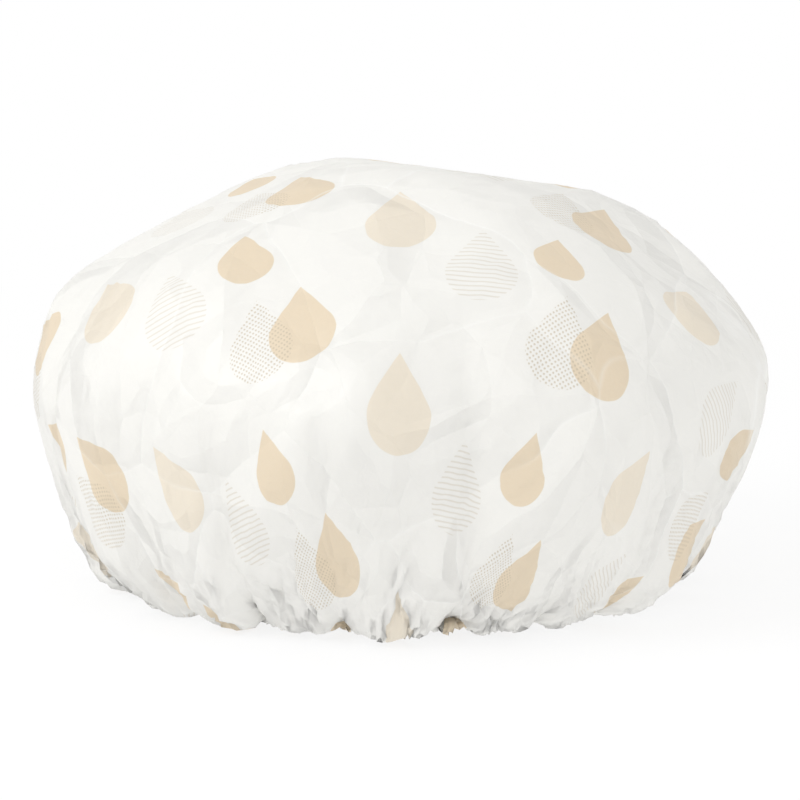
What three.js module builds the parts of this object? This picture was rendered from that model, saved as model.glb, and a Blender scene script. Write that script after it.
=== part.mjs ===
// A shower cap as it lies when it is taken off: a round sheet of printed waterproof film, drawn in
// by an elastic band that is sewn into the sheet's turned hem. Millimetres, +Z up. The cap stands
// mouth down on the crests of its gathers. The origin is on that surface, under the middle of the
// cap, and the front faces -Y.
import * as THREE from "three";

// Puffed shape of the cap
const CAP_WIDTH = 262; // left to right, across the widest ring
const CAP_DEPTH = 247; // front to back
const CAP_HEIGHT = 154; // from the surface to the top of the crown
const WAIST_HEIGHT = 66; // height of the widest ring
const CROWN_FULLNESS = 2.06; // of the outline above that ring: 1 is straight, 2 is an ellipse
const FLANK_FULLNESS = 1.22; // of the outline below it
const FOOT_RADIUS = 84; // middle of the ring of crests that the cap stands on
const FOOT_BREADTH = 8; // flat breadth of a crest where it meets the surface

// Sheet
const FILM_THICKNESS = 0.15;

// Gathers, which start at the hem and run out over the lower half of the cap
const GATHER_COUNT = 20;
const GATHER_DEPTH = 20; // how far the deepest valley lies inside the crests
const GATHER_UNEVEN = 0.3; // share of that depth which the shallowest valley lacks
const UNEVEN_WAVES = 7; // how often the valleys turn shallow and deep again round the cap
const GATHER_REACH = 126; // how far up the sheet from the hem a gather runs
const GATHER_FULL = 10; // how far up it keeps its full depth
const GATHER_LIFT = 14; // how far the deepest valley stands off the surface
const LIFT_REACH = 95; // how far up the sheet from the hem a valley is lifted
const LIFT_FULL = 40; // how far up it is fully lifted
const CREST_SHARE = 0.7; // share of a gather's height that its flat crest takes up
const GATHER_WANDER = -0.6; // how far the gathers stray from an even spacing, in radians of a gather

// Broad flats of the slack sheet round the widest ring
const FLAT_COUNT = 7;
const FLAT_DEPTH = 3;
const FLAT_TOP = 235; // where a flat starts, up the sheet from the hem
const FLAT_MIDDLE = 135; // where it is deepest
const FLAT_FOOT = 55; // where it ends
const FLAT_WANDER = 0.8; // how far the flats stray from an even spacing, in radians of a flat

const WANDER_WAVES = 3; // how often that straying comes and goes round the cap
const RIPPLE_WAVES = 5; // how often a weaker straying on top of it does
const RIPPLE_SHARE = 0.6; // how strong the weaker one is

// Elastic band: a flat strip with lapped ends
const ELASTIC_LENGTH = 460; // once round, relaxed, along its middle
const ELASTIC_WIDTH = 6;
const ELASTIC_THICKNESS = 0.8;
const ELASTIC_LAP = 15; // how far the ends lie over each other

// Turned hem, from its lower end up
const HEM_EASE = 45; // how much of the sheet passes from the round hem into the cap's own shape
const HEM_FOOT_HEIGHT = 6; // where the sheet starts to stand upright
const HEM_EDGE_RISE = 1.5; // from there up to the cut edge of the sheet
const HEM_EDGE_MARGIN = 2.5; // from the cut edge up to the seam
const SEAM_TO_CASING = 2; // from the seam up to the casing of the elastic

// Sewing thread
const THREAD_DIAMETER = 0.4;
const STITCH_LENGTH = 5;
const STITCH_RISE = 0.2; // how far the middle of a stitch stands off its ends
const TACK_BREADTH = 4; // of the zigzag that joins the ends of the elastic
const TACK_PITCH = 3;

// Clearance between pieces that lie on each other
const SEAT_GAP = 0.3;

// Fineness of the facets
const STEPS_PER_GATHER = 5;
const CROWN_STEPS = 6;
const FLANK_STEPS = 5;
const RETURN_STEPS = 3;
const RIM_STEPS = 4;
const ELASTIC_STEPS = 120;
const STEPS_PER_STITCH = 2;
const THREAD_SIDES = 5;
const STEPS_PER_TACK = 8;
const SPACING_ROUNDS = 30; // of the search for the angle at which a gather stands
const QUAD_CORNERS = 6; // corners of the two triangles between neighbouring points of a lathe

// Radii of the hem's layers, from the mouth outwards
const elasticRadius = ELASTIC_LENGTH / (2 * Math.PI);
const lapOffset = ELASTIC_THICKNESS + SEAT_GAP;
const mouthRadius = elasticRadius - ELASTIC_THICKNESS / 2 - SEAT_GAP - FILM_THICKNESS;
const tackRadius = elasticRadius + lapOffset + ELASTIC_THICKNESS / 2 + SEAT_GAP + THREAD_DIAMETER / 2;
const casingWidth = tackRadius + THREAD_DIAMETER / 2 + SEAT_GAP - mouthRadius - FILM_THICKNESS;
const casingRadius = mouthRadius + FILM_THICKNESS + casingWidth / 2;

// Heights of the hem's features
const cutEdgeHeight = HEM_FOOT_HEIGHT + HEM_EDGE_RISE;
const seamHeight = cutEdgeHeight + HEM_EDGE_MARGIN;
const casingHeight = seamHeight + SEAM_TO_CASING;
const elasticHeight = casingHeight + SEAT_GAP;
const rimHeight = elasticHeight + ELASTIC_WIDTH + SEAT_GAP;

const capRadius = CAP_WIDTH / 2;

const filmLook = new THREE.MeshStandardMaterial({ color: 0xf3f2ee, roughness: 0.45, metalness: 0 });
const elasticLook = new THREE.MeshStandardMaterial({ color: 0xf0efeb, roughness: 0.9, metalness: 0 });
const threadLook = new THREE.MeshStandardMaterial({ color: 0xf7f6f2, roughness: 0.7, metalness: 0 });

// A point at an angle round the middle of the cap
function around(radius, angle, height) {
  return new THREE.Vector3(radius * Math.cos(angle), radius * Math.sin(angle), height);
}

// Rises smoothly from 0 at one value to 1 at the other
function smoothStep(from, to, value) {
  return THREE.MathUtils.smoothstep(value, from, to);
}

// Points on a quarter of an ellipse, without the first one
function quarterArc(steps, place) {
  return Array.from({ length: steps }, (_, i) => {
    const turn = ((i + 1) / steps) * (Math.PI / 2);
    return place(Math.sin(turn), Math.cos(turn));
  });
}

// Share of its full breadth that an outline has at a distance, from 0 to 1, from its widest place
function swell(distance, fullness) {
  return (1 - distance ** fullness) ** (1 / fullness);
}

// Outline of the printed side of the sheet, from the top of the crown to the cut edge of the hem
function printedSide() {
  const footOuter = FOOT_RADIUS + FOOT_BREADTH / 2;
  const footInner = FOOT_RADIUS - FOOT_BREADTH / 2;
  const crown = quarterArc(CROWN_STEPS, (sine, cosine) => ({
    radius: capRadius * swell(cosine, CROWN_FULLNESS),
    height: WAIST_HEIGHT + (CAP_HEIGHT - WAIST_HEIGHT) * cosine,
  }));
  const flank = quarterArc(FLANK_STEPS, (sine) => ({
    radius: footOuter + (capRadius - footOuter) * swell(sine, FLANK_FULLNESS),
    height: WAIST_HEIGHT * (1 - sine),
  }));
  const foot = { radius: footInner, height: 0 };
  const climb = quarterArc(RETURN_STEPS, (sine, cosine) => ({
    radius: footInner - (footInner - mouthRadius) * sine,
    height: HEM_FOOT_HEIGHT * (1 - cosine),
  }));
  const turn = Array.from({ length: RIM_STEPS + 1 }, (_, i) => {
    const angle = Math.PI * (1 - i / RIM_STEPS);
    const bend = casingWidth / 2 + FILM_THICKNESS;
    return { radius: casingRadius + bend * Math.cos(angle), height: rimHeight + bend * Math.sin(angle) };
  });
  const casingOuter = { radius: mouthRadius + 2 * FILM_THICKNESS + casingWidth, height: casingHeight };
  const seam = { radius: mouthRadius + 2 * FILM_THICKNESS + SEAT_GAP, height: seamHeight };
  const cutEdge = { radius: seam.radius, height: cutEdgeHeight };
  const crownTop = { radius: 0, height: CAP_HEIGHT };
  return [crownTop, ...crown, ...flank, foot, ...climb, ...turn, casingOuter, seam, cutEdge];
}

// The other side of the sheet: the printed side moved in by the film's thickness
function plainSide(printed) {
  return printed.map((point, i) => {
    const before = printed[Math.max(i - 1, 0)];
    const after = printed[Math.min(i + 1, printed.length - 1)];
    const run = new THREE.Vector2(after.radius - before.radius, after.height - before.height).normalize();
    if (point.radius === 0) run.set(1, 0);
    return {
      radius: point.radius + run.y * FILM_THICKNESS,
      height: point.height - run.x * FILM_THICKNESS,
    };
  });
}

// How far up the sheet from the hem each outline point lies, with 0 for the hem itself
function rises(outline) {
  const lengths = [0];
  outline.slice(1).forEach((point, i) => {
    const step = Math.hypot(point.radius - outline[i].radius, point.height - outline[i].height);
    lengths.push(lengths[i] + step);
  });
  const hemStart = CROWN_STEPS + FLANK_STEPS + 1 + RETURN_STEPS;
  return lengths.map((length) => Math.max(0, lengths[hemStart] - length));
}

// Folds are unevenly spaced, so their phase wanders as it goes round the cap
function wander(angle) {
  const slow = Math.sin(WANDER_WAVES * angle + Math.sin(angle));
  return slow + RIPPLE_SHARE * Math.sin(RIPPLE_WAVES * angle + 1);
}

// Depth of the valley at an angle, as a share of the deepest one
function depthAt(angle) {
  return 1 - (GATHER_UNEVEN * (1 + Math.sin(UNEVEN_WAVES * angle + wander(angle)))) / 2;
}

// The angle at which the gathers reach a phase
function angleAtPhase(phase) {
  let angle = phase / GATHER_COUNT;
  for (let i = 0; i < SPACING_ROUNDS; i++) angle = (phase - GATHER_WANDER * wander(angle)) / GATHER_COUNT;
  return angle;
}

// Depth of the gathers at a phase: 0 on the flat crests and 1 in the valleys
function valleyAt(phase) {
  const depth = (1 - Math.cos(phase)) / 2;
  return Math.max(0, depth - CREST_SHARE) / (1 - CREST_SHARE);
}

// Depth of the broad flats at an angle, from 0 to 1
function flatAt(angle) {
  return (1 - Math.cos(FLAT_COUNT * angle + FLAT_WANDER * wander(angle))) / 2;
}

// A point of the sheet: the round outline drawn in front to back, into the gathers and into the flats
function foldedPoint({ radius, height }, rise, phase) {
  const angle = angleAtPhase(phase);
  const leaving = smoothStep(0, HEM_EASE, rise);
  const gather = leaving * (1 - smoothStep(GATHER_FULL, GATHER_REACH, rise));
  const lift = leaving * (1 - smoothStep(LIFT_FULL, LIFT_REACH, rise));
  const flat = smoothStep(FLAT_FOOT, FLAT_MIDDLE, rise) * (1 - smoothStep(FLAT_MIDDLE, FLAT_TOP, rise));
  const valley = valleyAt(phase) * depthAt(angle);
  const drawnIn = GATHER_DEPTH * gather * valley + FLAT_DEPTH * flat * flatAt(angle);
  const point = around(radius - drawnIn, angle, height + GATHER_LIFT * lift * valley);
  point.y *= THREE.MathUtils.lerp(1, CAP_DEPTH / CAP_WIDTH, leaving);
  return point;
}

// The sheet: one shell from the crown to the cut edge inside the hem
function makeFilm() {
  const printed = printedSide();
  const rise = rises(printed);
  const section = [...plainSide(printed), ...printed.toReversed()];
  const rising = [...rise, ...rise.toReversed()];
  const segments = GATHER_COUNT * STEPS_PER_GATHER;
  const profile = section.map((point) => new THREE.Vector2(point.radius, point.height));
  const geometry = new THREE.LatheGeometry(profile, segments);
  const position = geometry.attributes.position;
  for (let i = 0; i < position.count; i++) {
    const along = i % section.length;
    const step = Math.floor(i / section.length) % segments;
    // Half a step puts two points on each crest, which makes it flat
    const phase = ((step + 0.5) / STEPS_PER_GATHER) * 2 * Math.PI;
    const point = foldedPoint(section[along], rising[along], phase);
    position.setXYZ(i, point.x, point.y, point.z);
  }
  // The printed side is split along the plain side's diagonals, so that the two never cross
  const index = geometry.index;
  for (let quad = 0; quad < index.count / QUAD_CORNERS; quad++) {
    if (quad % (section.length - 1) < printed.length) continue;
    const first = quad * QUAD_CORNERS;
    const [a, b, d, c] = index.array.slice(first);
    [a, b, c, a, c, d].forEach((corner, i) => index.setX(first + i, corner));
  }
  return new THREE.Mesh(geometry, filmLook);
}

// The elastic: a strip standing on its edge, once round, with its ends lapped
function makeElastic() {
  const lapAngle = ELASTIC_LAP / elasticRadius;
  const edge = (side) =>
    Array.from({ length: ELASTIC_STEPS + 1 }, (_, i) => {
      const angle = (i / ELASTIC_STEPS) * (2 * Math.PI + lapAngle);
      const radius = elasticRadius + lapOffset * smoothStep(Math.PI, 2 * Math.PI, angle);
      const point = around(radius + (side * ELASTIC_THICKNESS) / 2, angle, 0);
      return new THREE.Vector2(point.x, point.y);
    });
  const strip = new THREE.Shape([...edge(1), ...edge(-1).reverse()]);
  const geometry = new THREE.ExtrudeGeometry(strip, { depth: ELASTIC_WIDTH, bevelEnabled: false });
  const mesh = new THREE.Mesh(geometry, elasticLook);
  mesh.position.z = elasticHeight;
  return mesh;
}

// The zigzag of thread that joins the lapped ends of the elastic
class TackLine extends THREE.Curve {
  getPoint(share) {
    const length = ELASTIC_LAP - 2 * THREAD_DIAMETER;
    const angle = (THREAD_DIAMETER + share * length) / elasticRadius;
    const swing = Math.sin((2 * Math.PI * share * length) / TACK_PITCH) * (TACK_BREADTH / 2);
    return around(tackRadius, angle, elasticHeight + ELASTIC_WIDTH / 2 + swing);
  }
}

function makeTack() {
  const section = new THREE.Shape();
  section.absarc(0, 0, THREAD_DIAMETER / 2, 0, 2 * Math.PI);
  const steps = Math.round((ELASTIC_LAP / TACK_PITCH) * STEPS_PER_TACK);
  const geometry = new THREE.ExtrudeGeometry(section, {
    extrudePath: new TackLine(),
    steps,
    curveSegments: THREAD_SIDES,
  });
  return new THREE.Mesh(geometry, threadLook);
}

// A thread of the seam, on one face of the hem: side -1 faces the mouth and 1 the inside
function makeSeamThread(side) {
  const face = side < 0 ? mouthRadius : mouthRadius + 2 * FILM_THICKNESS + SEAT_GAP;
  const radius = face + side * (SEAT_GAP + THREAD_DIAMETER / 2);
  const stitches = Math.round((2 * Math.PI * radius) / STITCH_LENGTH);
  const rings = stitches * STEPS_PER_STITCH;
  const geometry = new THREE.TorusGeometry(radius, THREAD_DIAMETER / 2, THREAD_SIDES, rings);
  const position = geometry.attributes.position;
  for (let i = 0; i < position.count; i++) {
    const angle = Math.atan2(position.getY(i), position.getX(i));
    const rise = (STITCH_RISE * (1 - Math.cos(stitches * angle))) / 2;
    const reach = Math.hypot(position.getX(i), position.getY(i)) + side * rise;
    const point = around(reach, angle, position.getZ(i));
    position.setXYZ(i, point.x, point.y, point.z);
  }
  const mesh = new THREE.Mesh(geometry, threadLook);
  mesh.position.z = seamHeight;
  return mesh;
}

const pieces = {
  crown_film: makeFilm(),
  elastic_band: makeElastic(),
  elastic_tack_thread: makeTack(),
  hem_needle_thread: makeSeamThread(-1),
  hem_bobbin_thread: makeSeamThread(1),
};

const cap = new THREE.Group();
for (const [name, mesh] of Object.entries(pieces)) {
  mesh.name = name;
  cap.add(mesh);
}

// The gathers are uneven, so the cap is moved until its origin is under the middle of its outline
const outline = new THREE.Box3().setFromObject(cap, true);
const middle = outline.getCenter(new THREE.Vector3());
const shower_cap = new THREE.Group();
cap.position.set(-middle.x, -middle.y, 0);
shower_cap.add(cap);

export default shower_cap;
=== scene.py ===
import math

import bmesh
import bpy
import numpy as np
from bpy.props import FloatProperty, FloatVectorProperty, IntProperty, PointerProperty
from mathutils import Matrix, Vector


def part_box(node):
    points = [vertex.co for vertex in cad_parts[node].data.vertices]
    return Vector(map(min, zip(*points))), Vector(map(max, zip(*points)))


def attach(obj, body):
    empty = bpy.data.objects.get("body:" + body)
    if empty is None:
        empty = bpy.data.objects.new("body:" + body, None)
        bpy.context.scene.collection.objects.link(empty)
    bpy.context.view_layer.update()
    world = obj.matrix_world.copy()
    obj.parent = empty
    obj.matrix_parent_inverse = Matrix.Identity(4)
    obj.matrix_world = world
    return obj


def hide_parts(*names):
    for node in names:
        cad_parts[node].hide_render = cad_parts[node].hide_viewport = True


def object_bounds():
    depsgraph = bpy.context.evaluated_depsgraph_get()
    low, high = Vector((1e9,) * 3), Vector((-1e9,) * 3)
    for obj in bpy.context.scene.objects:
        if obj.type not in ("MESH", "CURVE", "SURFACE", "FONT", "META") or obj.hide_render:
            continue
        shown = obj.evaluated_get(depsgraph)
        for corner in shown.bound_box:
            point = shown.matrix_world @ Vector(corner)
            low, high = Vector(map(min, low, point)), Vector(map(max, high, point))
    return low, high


bl_info = {
    "name": "Shower Cap",
    "version": (1, 0, 0),
    "blender": (4, 5, 0),
    "location": "3D View > Sidebar > Shower Cap",
    "description": "Makes a puffed shower cap of printed film, gathered by an elastic in its turned hem",
    "category": "Add Mesh",
}

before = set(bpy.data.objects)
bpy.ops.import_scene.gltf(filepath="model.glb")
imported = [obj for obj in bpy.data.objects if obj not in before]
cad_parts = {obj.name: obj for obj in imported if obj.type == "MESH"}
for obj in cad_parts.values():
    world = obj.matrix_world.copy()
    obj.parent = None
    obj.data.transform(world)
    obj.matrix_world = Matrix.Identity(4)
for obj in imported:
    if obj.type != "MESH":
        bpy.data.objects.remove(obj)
CAD_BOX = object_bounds()
FILM_LOW, FILM_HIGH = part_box("crown_film")
ELASTIC_LOW, ELASTIC_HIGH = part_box("elastic_band")
SEAM_LOW, SEAM_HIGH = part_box("hem_needle_thread")
HEM_MIDDLE = (SEAM_LOW + SEAM_HIGH) / 2
SEAM_RADIUS = (SEAM_HIGH.y - SEAM_LOW.y) / 2
FLAT_MAP = "flat_sheet"
WHITE = (1.0, 1.0, 1.0, 1.0)

# Places of the other drops from the dark one, on the flat sheet in metres
SMALL_PLACE, LIGHT_PLACE = (-0.018, 0.038), (0.034, -0.034)
DOTTED_PLACE, LINED_PLACE = (-0.0155, -0.0025), (0.061, 0.024)

# Print: a drop's tip by its radius, dots and lines by their pitch, ink as a share, edge in metres
DROP_TIP = 1.83
DOT_RADIUS, LINE_HALF = 0.19, 0.14
LINE_SLOPE = 0.06
DOT_INK, LINE_INK = 0.65, 0.35
PRINT_EDGE = 0.0003

# Film finish: facets to a metre, relief in metres, a lighter colour for crease lines that is partly
# stress-whitening and partly painted highlight, and the share of light that passes through
BROAD_FACETS, NARROW_FACETS = 13.0, 31.0
BROAD_RELIEF, NARROW_RELIEF, GRAIN_RELIEF = 0.0125, 0.0026, 0.0003
CREASE_LINE = 0.012
CREASE_WHITENING_AND_HIGHLIGHT = (0.97, 0.97, 0.95, 1.0)
LIGHT_THROUGH = 0.25

# Film shape, in metres along the sheet from the hem or off it
FOLD_START = 0.016
FLAT_FOOT, FLAT_MIDDLE, FLAT_TOP = 0.055, 0.135, 0.235
FLAT_DEPTH = 0.004
SECOND_FOLD = 0.002
SLACK_START = 0.06
UNEVEN = 0.00015
HOLD_EASES, HOLD_EASED = 0.035, 0.075
FOOT_BREADTH = 0.008
FLOOR_GAP = 0.0005

# Hem: room between layers, past the elastic's edges and over its top
HEM_GAP = 0.0004
ELASTIC_ROOM = 0.0006
HEM_TURN = 0.0026
HEM_TAIL = 0.002

# The cloth settles at ten times its size, where Blender's distances suit it
CLOTH_SCALE = 10.0

# Floor: how plain it is under the cap, and where it fades to plain white
FLOOR_HALF = 6.0
FLOOR_PLAIN, FADE_START, FADE_LENGTH = 0.80, 0.2, 0.6
KEY_PLACE, KEY_SIZE = Vector((-0.75, -0.50, 0.85)), 0.7
FILL_PLACE, FILL_SIZE = Vector((0.80, -0.95, 0.28)), 1.0
SENSOR_WIDTH = 36.0


# Properties

class CapFilm(bpy.types.PropertyGroup):
    """Sizes of the sheet, its gathers and its turned hem, and how the sheet settles."""

    width: FloatProperty(
        name="Width", description="Across the widest ring before the sheet settles", unit="LENGTH",
        default=FILM_HIGH.x - FILM_LOW.x + 0.0067)
    depth: FloatProperty(
        name="Depth", description="Front to back before the sheet settles", unit="LENGTH",
        default=FILM_HIGH.y - FILM_LOW.y + 0.0016)
    height: FloatProperty(
        name="Height", description="From the surface to the top of the crown", unit="LENGTH",
        default=FILM_HIGH.z - 0.004)
    waist: FloatProperty(
        name="Waist", description="Height of the widest ring", unit="LENGTH", default=0.072)
    foot_radius: FloatProperty(
        name="Foot radius", description="Ring of crests that the cap stands on", unit="LENGTH",
        default=0.092)
    dome: FloatProperty(
        name="Dome", description="Roundness of the crown: 1 is a cone and 2 is an ellipse",
        default=1.85)
    taper: FloatProperty(
        name="Taper", description="Roundness of the lower flank: 1 is straight and 2 is round",
        default=1.35)
    thickness: FloatProperty(
        name="Film gauge", description="Thickness of the film", unit="LENGTH", default=0.00015,
        precision=5)
    gathers: IntProperty(
        name="Gathers", description="Large folds round the foot", default=20)
    gather_depth: FloatProperty(
        name="Gather depth", description="How deep a fold is near the foot", unit="LENGTH",
        default=0.042)
    gather_rise: FloatProperty(
        name="Gather rise", description="How deep a fold still is on the flank", unit="LENGTH",
        default=0.006)
    gather_full: FloatProperty(
        name="Gather full", description="How far up the sheet from the hem a fold keeps its depth",
        unit="LENGTH", default=0.014)
    gather_end: FloatProperty(
        name="Gather end", description="How far up the sheet from the hem a fold has opened out",
        unit="LENGTH", default=0.050)
    gather_lift: FloatProperty(
        name="Gather lift", description="How much of a fold's depth lifts it off the surface",
        subtype="FACTOR", default=0.18)
    valley: FloatProperty(
        name="Valley", description="How narrow the valley between two folds is", default=8.0)
    crease: FloatProperty(
        name="Crease", description="How high a crease of the slack film stands", unit="LENGTH",
        default=0.0042)
    ruffles: IntProperty(
        name="Ruffles", description="Small folds of the hem round the elastic", default=100)
    ruffle_depth: FloatProperty(
        name="Ruffle depth", description="How far a ruffle of the hem stands in and out",
        unit="LENGTH", default=0.0110)
    cut_share: FloatProperty(
        name="Cut share", description="Length of the cut sheet in the folds, by that over the crests",
        subtype="FACTOR", default=0.975)
    ruffle_reach: FloatProperty(
        name="Ruffle reach", description="How far up the sheet from the hem a ruffle runs",
        unit="LENGTH", default=0.014)
    cells: IntProperty(
        name="Cells", description="Faces across the sheet", default=128)
    air: FloatProperty(
        name="Air", description="Pressure that holds the cap puffed", default=0.9)
    stretch: FloatProperty(
        name="Stretch", description="How hard the film resists stretching", default=200.0)
    bend: FloatProperty(
        name="Bend", description="How hard the film resists folding", default=2.0)
    hold: FloatProperty(
        name="Hold", description="How strongly the sheet keeps to its puffed shape",
        subtype="FACTOR", default=0.5)
    foot_hold: FloatProperty(
        name="Foot hold", description="How strongly the gathers near the hem keep to their shape",
        subtype="FACTOR", default=0.9)
    settle_frames: IntProperty(
        name="Settling", description="Frames that the sheet is left to settle", default=20)


class CapPrint(bpy.types.PropertyGroup):
    """Colours of the film and of its printed drops, and the size of the repeat."""

    film: FloatVectorProperty(
        name="Film", description="Colour of the bare film", subtype="COLOR", size=4,
        default=(0.92, 0.913, 0.882, 1.0))
    dark: FloatVectorProperty(
        name="Dark drop", description="Colour of the dark drops", subtype="COLOR", size=4,
        default=(0.82, 0.705, 0.535, 1.0))
    light: FloatVectorProperty(
        name="Light drop", description="Colour of the light drops", subtype="COLOR", size=4,
        default=(0.87, 0.80, 0.68, 1.0))
    dot: FloatVectorProperty(
        name="Dots", description="Colour of the dots, which overprint the dark drops", subtype="COLOR",
        size=4, default=(0.60, 0.52, 0.39, 1.0))
    repeat_across: FloatProperty(
        name="Repeat across", description="Width of one repeat of the print", unit="LENGTH",
        default=0.105)
    repeat_along: FloatProperty(
        name="Repeat along", description="Height of one repeat of the print", unit="LENGTH",
        default=0.085)
    start_across: FloatProperty(
        name="Start across", description="Where the repeat starts on the sheet", unit="LENGTH",
        default=-0.033)
    start_along: FloatProperty(
        name="Start along", description="Where the repeat starts on the sheet", unit="LENGTH",
        default=-0.119)
    drop_width: FloatProperty(
        name="Drop width", description="Width of a large drop", unit="LENGTH", default=0.0240)
    small_width: FloatProperty(
        name="Small drop width", description="Width of a small drop", unit="LENGTH",
        default=0.0182)
    stroke_pitch: FloatProperty(
        name="Stroke pitch", description="Spacing of the dots and lines", unit="LENGTH",
        default=0.0020)


class CapTrim(bpy.types.PropertyGroup):
    """Elastic and sewing thread."""

    elastic: FloatVectorProperty(
        name="Elastic", description="Colour of the elastic", subtype="COLOR", size=4,
        default=(0.86, 0.85, 0.82, 1.0))
    thread: FloatVectorProperty(
        name="Thread", description="Colour of the sewing thread", subtype="COLOR", size=4,
        default=(0.90, 0.89, 0.86, 1.0))
    elastic_gauge: FloatProperty(
        name="Elastic gauge", description="Thickness of the elastic", unit="LENGTH",
        default=0.0008, precision=4)
    elastic_lap: FloatProperty(
        name="Elastic lap", description="How far its ends lie over each other", unit="LENGTH",
        default=0.015)
    thread_gauge: FloatProperty(
        name="Thread gauge", description="Diameter of the thread", unit="LENGTH",
        default=0.0004, precision=4)
    stitch: FloatProperty(
        name="Stitch", description="Length of a stitch of the hem seam", unit="LENGTH",
        default=0.004)


class CapStage(bpy.types.PropertyGroup):
    """Floor, light and camera."""

    floor: FloatVectorProperty(
        name="Floor", description="Colour of the floor", subtype="COLOR", size=4,
        default=(0.92, 0.92, 0.92, 1.0))
    ambient: FloatProperty(
        name="Ambient", description="Strength of the light from all round", default=0.96)
    key: FloatProperty(
        name="Key lamp", description="Power of the large lamp", unit="POWER", default=4.6)
    fill: FloatProperty(
        name="Fill lamp", description="Power of the lamp in front", unit="POWER", default=1.1)
    glow: FloatProperty(
        name="Floor glow", description="Strength of the light that the floor throws up", default=1.18)
    elevation: FloatProperty(
        name="Camera height", description="How far above the horizon the camera looks from",
        subtype="ANGLE", default=math.radians(10))
    aim: FloatProperty(
        name="Camera aim", description="Height that the camera looks at", unit="LENGTH", default=0.066)
    distance: FloatProperty(
        name="Camera distance", description="From the place that it looks at", unit="LENGTH",
        default=1.069)
    lens: FloatProperty(
        name="Lens", description="Focal length in millimetres", default=135.0)


# Shader expressions

class Value:
    """A shader socket in a Python expression. Each operation adds one Math node."""

    def __init__(self, shader, socket):
        self.shader = shader
        self.socket = socket

    def math(self, operation, *others):
        inputs = dict(enumerate((self, *others)))
        return self.shader.node("ShaderNodeMath", {"operation": operation}, inputs)

    def other(self, name):
        return Value(self.shader, self.socket.node.outputs[name])

    def clamped(self):
        return self.shader.node("ShaderNodeClamp", {}, {"Value": self})

    def __add__(self, other):
        return self.math("ADD", other)

    def __radd__(self, other):
        return self.math("ADD", other)

    def __sub__(self, other):
        return self.math("SUBTRACT", other)

    def __rsub__(self, other):
        return self.shader.node("ShaderNodeMath", {"operation": "SUBTRACT"}, {0: other, 1: self})

    def __mul__(self, other):
        return self.math("MULTIPLY", other)

    def __rmul__(self, other):
        return self.math("MULTIPLY", other)

    def __truediv__(self, other):
        return self.math("DIVIDE", other)

    def __abs__(self):
        return self.math("ABSOLUTE")


class Shader:
    """A node tree that is filled by expressions."""

    def __init__(self, owner):
        owner.use_nodes = True
        self.tree = owner.node_tree
        self.tree.nodes.clear()

    def node(self, kind, settings, inputs):
        made = self.tree.nodes.new(kind)
        for name, value in settings.items():
            setattr(made, name, value)
        for key, value in inputs.items():
            socket = made.inputs[key]
            if isinstance(value, Value):
                self.tree.links.new(value.socket, socket)
            else:
                socket.default_value = value
        return Value(self, made.outputs[0]) if made.outputs else None

    def mixed(self, factor, first, second):
        inputs = {"Factor": factor, 6: first, 7: second}
        mix = self.node("ShaderNodeMix", {"data_type": "RGBA"}, inputs)
        return Value(self, mix.socket.node.outputs[2])

    def noise(self, place, scale, detail, distortion=0.0):
        inputs = {"Vector": place, "Scale": scale, "Detail": detail, "Distortion": distortion}
        return self.node("ShaderNodeTexNoise", {}, inputs)

    def bump(self, height, distance, strength=1.0):
        inputs = {"Height": height, "Distance": distance, "Strength": strength}
        return self.node("ShaderNodeBump", {}, inputs)


def new_material(name):
    material = bpy.data.materials.new(name)
    return material, Shader(material)


# Film material

def wrapped(value, middle, pitch):
    """Distance from the nearest repeat of a middle."""
    return (value - middle).math("WRAP", pitch / 2, -pitch / 2)


def drop_mask(across, along, width, tip):
    """1 inside a drop that points up the sheet, with its round end at the origin."""
    radius = width / 2
    lean = math.asin(1 / tip)
    side = abs(across)
    round_end = (across * across + along * along).math("SQRT") - radius
    point = side * math.cos(lean) + along * math.sin(lean) - radius
    beyond = (along * math.cos(lean) - side * math.sin(lean)).math("GREATER_THAN", 0.0)
    edge = round_end + (point - round_end) * beyond
    return (0.5 - edge / PRINT_EDGE).clamped()


def dot_mask(across, along, pitch):
    """1 in the dots of a staggered field."""
    def reach(shift):
        x = wrapped(across, shift, pitch)
        y = wrapped(along, shift, pitch)
        return (x * x + y * y).math("SQRT")
    nearest = reach(0.0).math("MINIMUM", reach(pitch / 2))
    return (0.5 + (pitch * DOT_RADIUS - nearest) / PRINT_EDGE).clamped()


def line_mask(along, pitch):
    """1 in the lines of a hatched field."""
    return (0.5 + (pitch * LINE_HALF - abs(wrapped(along, 0.0, pitch))) / PRINT_EDGE).clamped()


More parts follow.
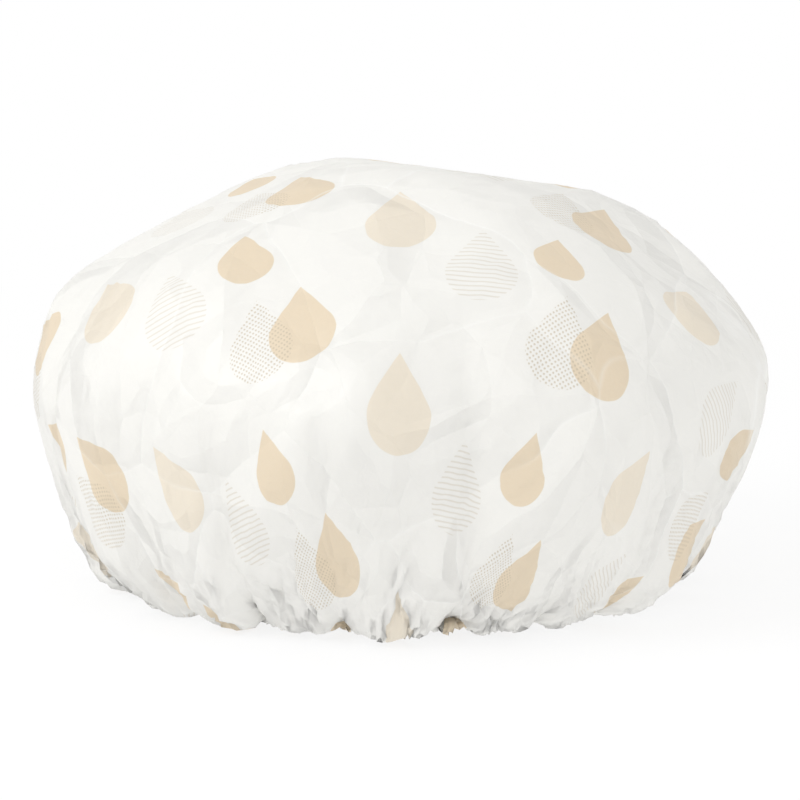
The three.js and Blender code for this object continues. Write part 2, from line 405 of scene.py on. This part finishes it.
def film_material(look):
    """Frosted film with a print of plain, dotted and lined drops."""
    material, shader = new_material("printed_film")
    flat = shader.node("ShaderNodeUVMap", {"uv_map": FLAT_MAP}, {})
    across = shader.node("ShaderNodeSeparateXYZ", {}, {"Vector": flat})
    along = across.other("Y")

    def drop(place, width):
        x = wrapped(across, look.start_across + place[0], look.repeat_across)
        y = wrapped(along, look.start_along + place[1], look.repeat_along)
        return x, y, drop_mask(x, y, width, DROP_TIP)

    dark = drop((0.0, 0.0), look.drop_width)[2]
    small = drop(SMALL_PLACE, look.small_width)[2]
    light = drop(LIGHT_PLACE, look.drop_width)[2]
    dotted_x, dotted_y, dotted = drop(DOTTED_PLACE, look.drop_width)
    lined_x, lined_y, lined = drop(LINED_PLACE, look.drop_width)
    dots = dotted * dot_mask(dotted_x, dotted_y, look.stroke_pitch)
    lines = lined * line_mask(lined_y + lined_x * LINE_SLOPE, look.stroke_pitch)

    cloud = shader.noise(flat, 9.0, 3.0)
    speck = shader.noise(flat, 900.0, 2.0)
    ink = 0.88 + 0.12 * speck
    bare = shader.mixed(cloud, tuple(0.97 * c for c in look.film[:3]) + (1.0,), tuple(look.film))
    colour = shader.mixed(light * ink, bare, tuple(look.light))
    colour = shader.mixed(lines * LINE_INK, colour, tuple(look.dot))
    colour = shader.mixed(dark.math("MAXIMUM", small) * ink, colour, tuple(look.dark))
    colour = shader.mixed(dots * DOT_INK, colour, tuple(look.dot))

    strayed = shader.node("ShaderNodeVectorMath", {"operation": "SCALE"}, {
        0: shader.noise(flat, 11.0, 2.0).other("Color"), "Scale": 0.05})
    bent = shader.node("ShaderNodeVectorMath", {"operation": "ADD"}, {0: flat, 1: strayed})

    def facets(scale):
        return shader.node("ShaderNodeTexVoronoi", {"feature": "DISTANCE_TO_EDGE"}, {
            "Vector": bent, "Scale": scale})

    broad, narrow = facets(BROAD_FACETS), facets(NARROW_FACETS)
    fine = shader.noise(flat, 140.0, 3.0, 0.5)
    relief = broad * BROAD_RELIEF + narrow * NARROW_RELIEF + fine * GRAIN_RELIEF
    surface = shader.bump(relief, 1.0)
    # Lighter lines along some broad facet edges: partly the film's stress-whitening at creases, partly a
    # painted highlight on the ridges
    marked = (cloud - 0.42) * 4.0
    line = (1.0 - broad / CREASE_LINE).clamped() * marked.clamped() * 0.6
    colour = shader.mixed(line, colour, CREASE_WHITENING_AND_HIGHLIGHT)
    gloss = 0.34 + 0.12 * cloud + 0.06 * speck
    face = shader.node("ShaderNodeBsdfPrincipled", {}, {
        "Base Color": colour, "Roughness": gloss, "IOR": 1.49, "Normal": surface})
    through = shader.node("ShaderNodeBsdfTranslucent", {}, {"Color": colour, "Normal": surface})
    blend = shader.node("ShaderNodeMixShader", {}, {"Fac": LIGHT_THROUGH, 1: face, 2: through})
    shader.node("ShaderNodeOutputMaterial", {}, {"Surface": blend})
    return material


def elastic_material(trim):
    """Flat knitted elastic, ribbed along its length."""
    material, shader = new_material("knitted_elastic")
    place = shader.node("ShaderNodeTexCoord", {}, {}).other("Object")
    x = shader.node("ShaderNodeSeparateXYZ", {}, {"Vector": place})
    turn = (x.other("Y") - HEM_MIDDLE.y).math("ARCTAN2", x - HEM_MIDDLE.x)
    rib = 0.5 + 0.5 * (x.other("Z") * (2 * math.pi / 0.001)).math("SINE")
    loop = 0.5 + 0.5 * (turn * 460.0 + rib * 2.0).math("SINE")
    fuzz = shader.noise(place, 2200.0, 2.0)
    knit = rib * 0.6 + loop * 0.4
    # Painted shade: the colour darkens to 0.8 of the elastic's in the low parts of the knit bump, with
    # random fuzz tone mixed in
    painted_hollow_shade = tuple(0.80 * c for c in trim.elastic[:3]) + (1.0,)
    colour = shader.mixed(knit * 0.8 + fuzz * 0.2, painted_hollow_shade, tuple(trim.elastic))
    face = shader.node("ShaderNodeBsdfPrincipled", {}, {
        "Base Color": colour, "Roughness": 0.80 + 0.15 * fuzz, "Sheen Weight": 0.2,
        "Normal": shader.bump(knit + fuzz * 0.3, 0.0001)})
    shader.node("ShaderNodeOutputMaterial", {}, {"Surface": face})
    return material


def thread_material(trim):
    """Spun sewing thread with its twist."""
    material, shader = new_material("sewing_thread")
    place = shader.node("ShaderNodeTexCoord", {}, {}).other("Object")
    twist = shader.node("ShaderNodeTexWave", {"bands_direction": "DIAGONAL"}, {
        "Vector": place, "Scale": 700.0, "Distortion": 1.5, "Detail": 1.0})
    fuzz = shader.noise(place, 3000.0, 2.0)
    # Painted shade: the colour darkens to 0.84 of the thread's in the twist grooves of the bump, with
    # random fuzz tone mixed in
    painted_hollow_shade = tuple(0.84 * c for c in trim.thread[:3]) + (1.0,)
    colour = shader.mixed(twist.other("Fac") * 0.7 + fuzz * 0.3, painted_hollow_shade, tuple(trim.thread))
    face = shader.node("ShaderNodeBsdfPrincipled", {}, {
        "Base Color": colour, "Roughness": 0.60 + 0.2 * fuzz,
        "Normal": shader.bump(twist.other("Fac"), 0.00006)})
    shader.node("ShaderNodeOutputMaterial", {}, {"Surface": face})
    return material


# Film shape

def ease(low, high, value):
    """Rises smoothly from 0 at one value to 1 at the other."""
    share = np.clip((value - low) / (high - low), 0.0, 1.0)
    return share * share * (3 - 2 * share)


def straying(angle):
    """Folds are unevenly spaced, so their phase strays as it goes round."""
    return np.sin(3 * angle + np.sin(angle)) + 0.6 * np.sin(5 * angle + 1.0)


def ruffle(angle, film):
    """1 where a ruffle of the hem stands into the mouth and 0 where it stands out of it."""
    phase = film.ruffles * angle + 0.8 * np.sin(5 * angle) + 0.5 * straying(angle)
    return (1 + np.cos(phase)) / 2


def creases(phase):
    """Sharp ridges half a turn apart, with shallow hollows between them."""
    return 2 / math.pi - np.abs(np.sin(phase))


def rounded(bends, steps):
    """Rows along a smooth line through the bends, with so many steps from one bend to the next."""
    padded = np.vstack([bends[:1], bends, bends[-1:]])
    rows = [bends[0]]
    for before, start, end, after in zip(padded, padded[1:], padded[2:], padded[3:]):
        for share in np.arange(1, steps + 1) / steps:
            pull = (end - before) * share * (1 - share) ** 2 / 2
            push = (after - start) * share ** 2 * (1 - share) / 2
            rows.append(start + (end - start) * ease(0.0, 1.0, share) + pull - push)
    return np.array(rows)


class Hem:
    """The turned hem as rows from its foot over the elastic to the cut edge."""

    def __init__(self, film):
        swing = film.ruffle_depth
        inner = SEAM_RADIUS + HEM_GAP
        outer = (ELASTIC_HIGH.x - HEM_MIDDLE.x) + 2 * HEM_GAP + ELASTIC_ROOM
        middle = (inner + outer) / 2
        seam = HEM_MIDDLE.z
        low, high = ELASTIC_LOW.z - ELASTIC_ROOM, ELASTIC_HIGH.z + ELASTIC_ROOM
        both = (middle - swing / 2, middle + swing / 2)
        behind = (both[0] + 4 * HEM_GAP, both[1] + 4 * HEM_GAP)
        self.film = film
        self.foot = (seam - HEM_TAIL, *both)
        self.seam = (seam, *both)
        self.seam_outer = (seam, *behind)
        bends = np.array([
            self.foot,
            self.seam,
            (low, inner - swing, inner),
            (high, inner - swing, inner),
            (ELASTIC_HIGH.z + HEM_TURN, *both),
            (high, outer, outer + swing),
            (low, outer, outer + swing),
            self.seam_outer,
            (seam - HEM_TAIL, *behind),
        ])
        self.rows = rounded(bends, 2)[1:]

    def place(self, row, angle):
        """Points of a row at angles round the middle of the mouth."""
        height, crest, trough = row
        radius = trough + (crest - trough) * ruffle(angle, self.film)
        x = HEM_MIDDLE.x + radius * np.cos(angle)
        y = HEM_MIDDLE.y + radius * np.sin(angle)
        return np.stack([x, y, np.full_like(radius, height)], axis=-1)

    def rim_angles(self):
        """Angles of the points along the rim of the sheet, once round the mouth."""
        side = np.linspace(-1.0, 1.0, self.film.cells + 1)
        quarter = np.arctan2(side * math.sqrt(0.5), np.sqrt(1 - side ** 2 / 2))
        turns = [quarter[:-1] + turn * math.pi / 2 for turn in range(4)]
        return np.append(np.concatenate(turns), quarter[0] + 2 * math.pi)

    def angles(self, points):
        return np.arctan2(points[:, 1] - HEM_MIDDLE.y, points[:, 0] - HEM_MIDDLE.x)


class Outline:
    """Outline of the puffed sheet from the top of the crown to the foot of the hem."""

    def __init__(self, film, hem):
        quarter = np.linspace(0.0, math.pi / 2, 61)
        waist = film.width / 2
        foot_outer = film.foot_radius + FOOT_BREADTH / 2
        foot_inner = film.foot_radius - FOOT_BREADTH / 2
        hem_height, crest, trough = hem.foot
        hem_radius = (crest + trough) / 2
        climbed = np.cos(quarter)
        crown = (waist * (1 - climbed ** film.dome) ** (1 / film.dome),
                 film.waist + (film.height - film.waist) * climbed)
        drop = np.sin(quarter)
        flank = (foot_outer + (waist - foot_outer) * (1 - drop ** film.taper) ** (1 / film.taper),
                 film.waist * (1 - drop))
        climb = (foot_inner - (foot_inner - hem_radius) * np.sin(quarter),
                 hem_height * (1 - np.cos(quarter)))
        parts = zip(crown, flank, climb)
        self.radius, self.height = (np.concatenate([a, b[1:], c]) for a, b, c in parts)
        self.height = self.height + 0.0006
        steps = np.hypot(np.diff(self.radius), np.diff(self.height))
        self.run = np.concatenate([[0.0], np.cumsum(steps)])
        self.length = self.run[-1]
        self.cut = self.length * film.cut_share

    def inward(self, run):
        """Direction in which a fold is drawn, smoothed so that neighbouring folds don't cross."""
        even = np.linspace(0.0, self.length, 400)
        lean_r = np.gradient(np.interp(even, self.run, self.radius), even)
        lean_z = np.gradient(np.interp(even, self.run, self.height), even)
        window = np.hanning(61) / np.hanning(61).sum()

        def smoothed(values):
            return np.convolve(np.pad(values, 30, mode="edge"), window, mode="valid")

        drawn_r, drawn_z = smoothed(lean_z), smoothed(-lean_r)
        size = np.hypot(drawn_r, drawn_z)
        return np.interp(run, even, drawn_r / size), np.interp(run, even, drawn_z / size)


def puffed_places(film, hem, outline, unit_x, unit_y):
    """Where the points of the flat round sheet start: puffed and drawn into gathers."""
    share = np.hypot(unit_x, unit_y)
    angle = np.arctan2(unit_y, unit_x)
    run = share * outline.length
    rise = outline.length - run
    radius = np.interp(run, outline.run, outline.radius)
    height = np.interp(run, outline.run, outline.height)
    phase = film.gathers * angle - 0.6 * straying(angle)
    leaving = ease(0.0, FOLD_START, rise)
    reach = 0.165 + 0.045 * np.cos(5 * angle + 2.0) + 0.02 * np.cos(9 * angle)
    low = leaving * (1 - ease(film.gather_full, film.gather_end, rise))
    high = leaving * (1 - ease(0.05, 1.0, rise / reach))
    valley = ((1 - np.cos(phase)) / 2) ** film.valley
    own = 0.75 - 0.25 * np.sin(7 * angle + straying(angle))
    drawn = (film.gather_depth * low + film.gather_rise * high * (1 - low)) * valley * own
    flats = ease(FLAT_FOOT, FLAT_MIDDLE, rise) * (1 - ease(FLAT_MIDDLE, FLAT_TOP, rise))
    drawn += FLAT_DEPTH * flats * (1 - np.cos(7 * angle + 0.8 * straying(angle))) / 2
    fine = 1 - ease(film.ruffle_reach * 0.15, film.ruffle_reach, rise)
    drawn -= film.ruffle_depth * fine * (ruffle(angle, film) - 0.5)
    between = SECOND_FOLD * leaving * (1 - ease(0.02, 0.06, rise))
    drawn += between * np.cos(2 * phase + np.sin(4 * angle))
    drawn_r, drawn_z = outline.inward(run)
    folded = radius + drawn_r * drawn
    folded = np.where(rise < 0.06, np.maximum(folded, hem.foot[1]), folded)
    lifted = np.where(drawn_z > 0.0, drawn_z * film.gather_lift, drawn_z)
    height = np.maximum(height + lifted * drawn, FLOOR_GAP)
    oval = 1 + (film.depth / film.width - 1) * leaving
    places = np.stack([folded * np.cos(angle), folded * np.sin(angle) * oval, height], axis=1)
    slack = film.crease * ease(0.0, SLACK_START, rise) * (
        creases(7.0 * unit_x + 3.2 * unit_y + 0.4 + 0.7 * np.sin(2.9 * unit_y))
        + 0.9 * creases(3.6 * unit_x - 8.8 * unit_y + 1.9 + 0.6 * np.sin(3.3 * unit_x))
        + 0.7 * creases(9.3 * unit_x - 6.2 * unit_y + 4.0 + 0.8 * np.sin(2.2 * unit_y)))
    outward = np.stack([folded * np.cos(angle), folded * np.sin(angle), (height - 0.05) * 1.6], 1)
    outward /= np.linalg.norm(outward, axis=1)[:, None]
    places += outward * slack[:, None]
    places += np.random.default_rng(3).normal(0.0, UNEVEN, places.shape)
    places += np.array([HEM_MIDDLE.x, HEM_MIDDLE.y, 0.0])
    return places


def points_of(mesh):
    points = np.empty(len(mesh.vertices) * 3, dtype=np.float32)
    mesh.vertices.foreach_get("co", points)
    return points.reshape(-1, 3).astype(float)


def move_points(mesh, points):
    mesh.vertices.foreach_set("co", points.astype(np.float32).ravel())
    mesh.update()


def new_object(name, mesh):
    made = bpy.data.objects.new(name, mesh)
    bpy.context.scene.collection.objects.link(made)
    return made


def mesh_from(name, bm):
    mesh = bpy.data.meshes.new(name)
    bm.to_mesh(mesh)
    bm.free()
    return mesh


def settle(film, sheet, flat, rim):
    """Lets the puffed sheet settle as cloth over a floor, and returns where its points come to rest."""
    scene = bpy.context.scene
    move_points(sheet.data, points_of(sheet.data) * CLOTH_SCALE)
    sheet.shape_key_add(name="puffed")
    cut = sheet.shape_key_add(name="cut")
    cut.data.foreach_set("co", (flat * CLOTH_SCALE).astype(np.float32).ravel())
    cut.value = 0.0
    held = sheet.vertex_groups.new(name="held")
    rise = np.linalg.norm(flat[rim][0]) - np.linalg.norm(flat, axis=1)
    holds = film.foot_hold + (film.hold - film.foot_hold) * ease(HOLD_EASES, HOLD_EASED, rise)
    for index, hold in enumerate(np.where(rim, 1.0, holds)):
        held.add([index], hold, "REPLACE")
    bm = bmesh.new()
    bmesh.ops.create_grid(bm, x_segments=2, y_segments=2, size=4.0)
    ground = new_object("settling_floor", mesh_from("settling_floor", bm))
    ground.modifiers.new("floor", "COLLISION")
    ground.collision.thickness_outer = 0.004
    ground.collision.cloth_friction = 5.0
    cloth = sheet.modifiers.new("settling", "CLOTH")
    how = cloth.settings
    how.quality = 6
    how.mass = 0.05
    how.air_damping = 2.0
    how.tension_stiffness = film.stretch
    how.compression_stiffness = film.stretch
    how.shear_stiffness = film.stretch / 3
    how.bending_stiffness = film.bend
    how.tension_damping = how.compression_damping = how.shear_damping = 8.0
    how.bending_damping = 1.0
    how.use_pressure = True
    how.uniform_pressure_force = film.air
    how.vertex_group_mass = held.name
    how.pin_stiffness = 1.0
    how.rest_shape_key = cut
    how.effector_weights.gravity = 0.2
    touch = cloth.collision_settings
    touch.distance_min = 0.004
    touch.use_self_collision = True
    touch.self_distance_min = 0.010
    touch.collision_quality = 2
    cloth.point_cache.frame_start = 1
    cloth.point_cache.frame_end = film.settle_frames + 1
    for step in range(1, film.settle_frames + 1):
        scene.frame_set(step)
    settled = sheet.evaluated_get(bpy.context.evaluated_depsgraph_get())
    points = points_of(settled.data) / CLOTH_SCALE
    points[:, 2] = np.maximum(points[:, 2], 2.0 * film.thickness)
    scene.frame_set(1)
    sheet.modifiers.clear()
    sheet.shape_key_clear()
    sheet.vertex_groups.clear()
    bpy.data.meshes.remove(ground.data)
    return points


def turn_hem(bm, hem, outline, flat_layer):
    """Grows the hem from the rim of the sheet: up, over the elastic and down to the cut edge."""
    edges = [edge for edge in bm.edges if edge.is_boundary]
    before, run = np.array(hem.foot), outline.cut
    for row in hem.rows:
        grown = bmesh.ops.extrude_edge_only(bm, edges=edges)["geom"]
        edges = [g for g in grown if isinstance(g, bmesh.types.BMEdge) and g.is_boundary]
        verts = [g for g in grown if isinstance(g, bmesh.types.BMVert)]
        run += float(np.hypot(row[0] - before[0], (row[1:] - before[1:]).mean()))
        before = row
        angles = hem.angles(np.array([vert.co for vert in verts]))
        for vert, angle, place in zip(verts, angles, hem.place(row, angles)):
            vert.co = place
            vert[flat_layer] = (run * math.cos(angle), run * math.sin(angle), 0.0)
    return run


class CAP_OT_film(bpy.types.Operator):
    """Makes the printed sheet: puffed, gathered, settled as cloth and hemmed."""

    bl_idname = "cap.film"
    bl_label = "Film"

    def execute(self, context):
        film = context.scene.cap_film
        hem = Hem(film)
        outline = Outline(film, hem)
        bm = bmesh.new()
        bmesh.ops.create_grid(bm, x_segments=film.cells, y_segments=film.cells, size=1.0)
        sheet = new_object("film", mesh_from("film", bm))
        square = points_of(sheet.data)
        unit_x = square[:, 0] * np.sqrt(1 - square[:, 1] ** 2 / 2)
        unit_y = square[:, 1] * np.sqrt(1 - square[:, 0] ** 2 / 2)
        rim = np.hypot(unit_x, unit_y) > 0.9999
        flat = np.stack([unit_x, unit_y, np.zeros_like(unit_x)], axis=1) * outline.cut
        places = puffed_places(film, hem, outline, unit_x, unit_y)
        places[rim] = hem.place(hem.foot, np.arctan2(unit_y[rim], unit_x[rim]))
        move_points(sheet.data, places)
        places = settle(film, sheet, flat, rim)
        places[rim] = hem.place(hem.foot, np.arctan2(unit_y[rim], unit_x[rim]))
        move_points(sheet.data, places)

        bm = bmesh.new()
        bm.from_mesh(sheet.data)
        flat_layer = bm.verts.layers.float_vector.new("cut_place")
        for vert, place in zip(bm.verts, flat):
            vert[flat_layer] = place
        cut_radius = turn_hem(bm, hem, outline, flat_layer)
        flat_map = bm.loops.layers.uv.new(FLAT_MAP)
        for face in bm.faces:
            face.smooth = True
            for loop in face.loops:
                loop[flat_map].uv = loop.vert[flat_layer].xy
        bm.to_mesh(sheet.data)
        bm.free()
        sheet.data.materials.append(film_material(context.scene.cap_print))
        gauge = sheet.modifiers.new("gauge", "SOLIDIFY")
        gauge.thickness = film.thickness
        gauge.offset = -1.0
        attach(sheet, "root")
        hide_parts("crown_film")
        return {"FINISHED"}


class CAP_OT_elastic(bpy.types.Operator):
    """Makes the flat elastic with its lapped ends."""

    bl_idname = "cap.elastic"
    bl_label = "Elastic"

    def execute(self, context):
        trim = context.scene.cap_trim
        low, high = ELASTIC_LOW.z, ELASTIC_HIGH.z
        radius = HEM_MIDDLE.x - ELASTIC_LOW.x - trim.elastic_gauge / 2
        lap = trim.elastic_lap / radius
        over = ELASTIC_HIGH.x - HEM_MIDDLE.x - trim.elastic_gauge / 2 - radius
        bm = bmesh.new()
        bmesh.ops.create_grid(bm, x_segments=240, y_segments=12, size=1.0)
        elastic = new_object("elastic", mesh_from("elastic", bm))
        square = points_of(elastic.data)
        turn = (square[:, 0] + 1) / 2 * (2 * math.pi + lap)
        ribs = 0.00006 * np.cos(square[:, 1] * 6 * math.pi)
        reach = radius + over * ease(2 * math.pi - 0.12, 2 * math.pi, turn) + ribs
        height = (low + high) / 2 + square[:, 1] * (high - low) / 2
        places = np.stack([HEM_MIDDLE.x + reach * np.cos(turn),
                           HEM_MIDDLE.y + reach * np.sin(turn), height], axis=1)
        move_points(elastic.data, places)
        for face in elastic.data.polygons:
            face.use_smooth = True
        elastic.data.materials.append(elastic_material(trim))
        gauge = elastic.modifiers.new("gauge", "SOLIDIFY")
        gauge.thickness = trim.elastic_gauge
        gauge.offset = 0.0
        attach(elastic, "root")
        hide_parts("elastic_band")
        return {"FINISHED"}


def seam_mesh(name, trim, hem, row, lift):
    """A row of stitches along the ruffled seam, each one a short bent tube."""
    path = hem.place(row, hem.rim_angles())
    along = np.diff(path, axis=0)
    lengths = np.linalg.norm(along, axis=1)
    along /= lengths[:, None]
    run = np.concatenate([[0.0], np.cumsum(lengths)])
    count = round(run[-1] / trim.stitch)
    towards_mouth = np.stack([-along[:, 1], along[:, 0], np.zeros(len(along))], axis=1)
    curve = bpy.data.curves.new(name, "CURVE")
    curve.dimensions = "3D"
    curve.bevel_depth = trim.thread_gauge / 2
    curve.bevel_resolution = 1
    curve.use_fill_caps = True
    shares = np.linspace(0.06, 0.94, 6)
    rise = np.sin(np.linspace(0.0, math.pi, 6)) ** 0.5
    for stitch in range(count):
        at = (stitch + shares) / count * run[-1]
        points = np.stack([np.interp(at, run, path[:, i]) for i in range(3)], axis=1)
        lean = towards_mouth[np.searchsorted(run, at) - 1]
        points = points + lean * (lift * rise)[:, None]
        spline = curve.splines.new("POLY")
        spline.points.add(len(points) - 1)
        spline.points.foreach_set("co", np.column_stack([points, np.ones(len(points))]).ravel())
    holder = new_object(name + "_path", curve)
    shown = holder.evaluated_get(bpy.context.evaluated_depsgraph_get())
    mesh = bpy.data.meshes.new_from_object(shown)
    bpy.data.curves.remove(curve)
    mesh.name = name
    for face in mesh.polygons:
        face.use_smooth = True
    return mesh


class CAP_OT_threads(bpy.types.Operator):
    """Makes the hem seam's two threads, and finishes the thread that joins the elastic."""

    bl_idname = "cap.threads"
    bl_label = "Threads"

    def execute(self, context):
        trim = context.scene.cap_trim
        film = context.scene.cap_film
        hem = Hem(film)
        cotton = thread_material(trim)
        lift = trim.thread_gauge / 2 + film.thickness
        sides = (("needle_thread", "hem_needle_thread", hem.seam, lift),
                 ("bobbin_thread", "hem_bobbin_thread", hem.seam_outer, -lift))
        for name, node, row, off in sides:
            thread = new_object(name, seam_mesh(name, trim, hem, row, off))
            thread.data.materials.clear()
            thread.data.materials.append(cotton)
            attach(thread, "root")
            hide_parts(node)
        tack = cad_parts["elastic_tack_thread"].data
        tack.materials.clear()
        tack.materials.append(cotton)
        return {"FINISHED"}


# Stage

def seen_directly(shader):
    """1 for what the camera, a mirror or a clear film shows, and 0 for light on the cap."""
    path = shader.node("ShaderNodeLightPath", {}, {})
    direct = path.other("Is Camera Ray").math("MAXIMUM", path.other("Is Glossy Ray"))
    return direct.math("MAXIMUM", path.other("Is Transmission Ray"))


class CAP_OT_stage(bpy.types.Operator):
    """Sets up the floor, the light and the camera."""

    bl_idname = "cap.stage"
    bl_label = "Stage"

    def execute(self, context):
        stage = context.scene.cap_stage
        scene = context.scene
        bm = bmesh.new()
        bmesh.ops.create_grid(bm, x_segments=1, y_segments=1, size=FLOOR_HALF)
        floor = new_object("floor", mesh_from("floor", bm))
        material, shader = new_material("floor")
        lit = shader.node("ShaderNodeBsdfDiffuse", {}, {"Color": tuple(stage.floor)})
        strength = stage.glow + (1.0 - stage.glow) * seen_directly(shader)
        white = shader.node("ShaderNodeEmission", {}, {
            "Color": WHITE, "Strength": strength})
        place = shader.node("ShaderNodeTexCoord", {}, {}).other("Object")
        away = shader.node("ShaderNodeVectorMath", {"operation": "LENGTH"}, {0: place}).other("Value")
        plain = FLOOR_PLAIN + (1.0 - FLOOR_PLAIN) * ((away - FADE_START) / FADE_LENGTH).clamped()
        blend = shader.node("ShaderNodeMixShader", {}, {"Fac": plain, 1: lit, 2: white})
        shader.node("ShaderNodeOutputMaterial", {}, {"Surface": blend})
        floor.data.materials.append(material)

        scene.world = bpy.data.worlds.new("soft_light")
        shader = Shader(scene.world)
        strength = stage.ambient + (1.0 - stage.ambient) * seen_directly(shader)
        sky = shader.node("ShaderNodeBackground", {}, {
            "Color": WHITE, "Strength": strength})
        shader.node("ShaderNodeOutputWorld", {}, {"Surface": sky})

        middle = (CAD_BOX[0] + CAD_BOX[1]) / 2
        lamps = (("key", stage.key, KEY_SIZE, KEY_PLACE),
                 ("fill", stage.fill, FILL_SIZE, FILL_PLACE))
        for name, power, size, place in lamps:
            lamp = bpy.data.lights.new(name, "AREA")
            lamp.shape = "DISK"
            lamp.size = size
            lamp.energy = power
            shining = new_object(name, lamp)
            shining.location = place
            shining.rotation_euler = (middle - place).to_track_quat("-Z", "Y").to_euler()

        camera = new_object("camera", bpy.data.cameras.new("camera"))
        camera.data.lens = stage.lens
        camera.data.sensor_width = SENSOR_WIDTH
        back = Vector((0.0, -math.cos(stage.elevation), math.sin(stage.elevation)))
        camera.location = Vector((middle.x, middle.y, stage.aim)) + back * stage.distance
        camera.rotation_euler = (-back).to_track_quat("-Z", "Y").to_euler()
        scene.camera = camera
        scene.view_settings.view_transform = "Standard"
        return {"FINISHED"}


class CAP_PT_panel(bpy.types.Panel):
    """Sizes, colours and steps of the cap."""

    bl_idname = "CAP_PT_panel"
    bl_label = "Shower Cap"
    bl_space_type = "VIEW_3D"
    bl_region_type = "UI"
    bl_category = "Shower Cap"

    def draw(self, context):
        groups = ((CAP_OT_film, ("cap_film", "cap_print")), (CAP_OT_elastic, ("cap_trim",)),
                  (CAP_OT_threads, ()), (CAP_OT_stage, ("cap_stage",)))
        for operator, names in groups:
            box = self.layout.box()
            for name in names:
                values = getattr(context.scene, name)
                for key in values.__annotations__:
                    box.prop(values, key)
            box.operator(operator.bl_idname)


GROUPS = {"cap_film": CapFilm, "cap_print": CapPrint, "cap_trim": CapTrim, "cap_stage": CapStage}
OPERATORS = (CAP_OT_film, CAP_OT_elastic, CAP_OT_threads, CAP_OT_stage)


def register():
    for name, group in GROUPS.items():
        bpy.utils.register_class(group)
        setattr(bpy.types.Scene, name, PointerProperty(type=group))
    for part in (*OPERATORS, CAP_PT_panel):
        bpy.utils.register_class(part)


def unregister():
    for part in reversed((*OPERATORS, CAP_PT_panel)):
        bpy.utils.unregister_class(part)
    for name, group in GROUPS.items():
        delattr(bpy.types.Scene, name)
        bpy.utils.unregister_class(group)


def main():
    register()
    bpy.ops.cap.stage()
    bpy.ops.cap.elastic()
    bpy.ops.cap.threads()
    bpy.ops.cap.film()


if __name__ == "__main__":
    main()
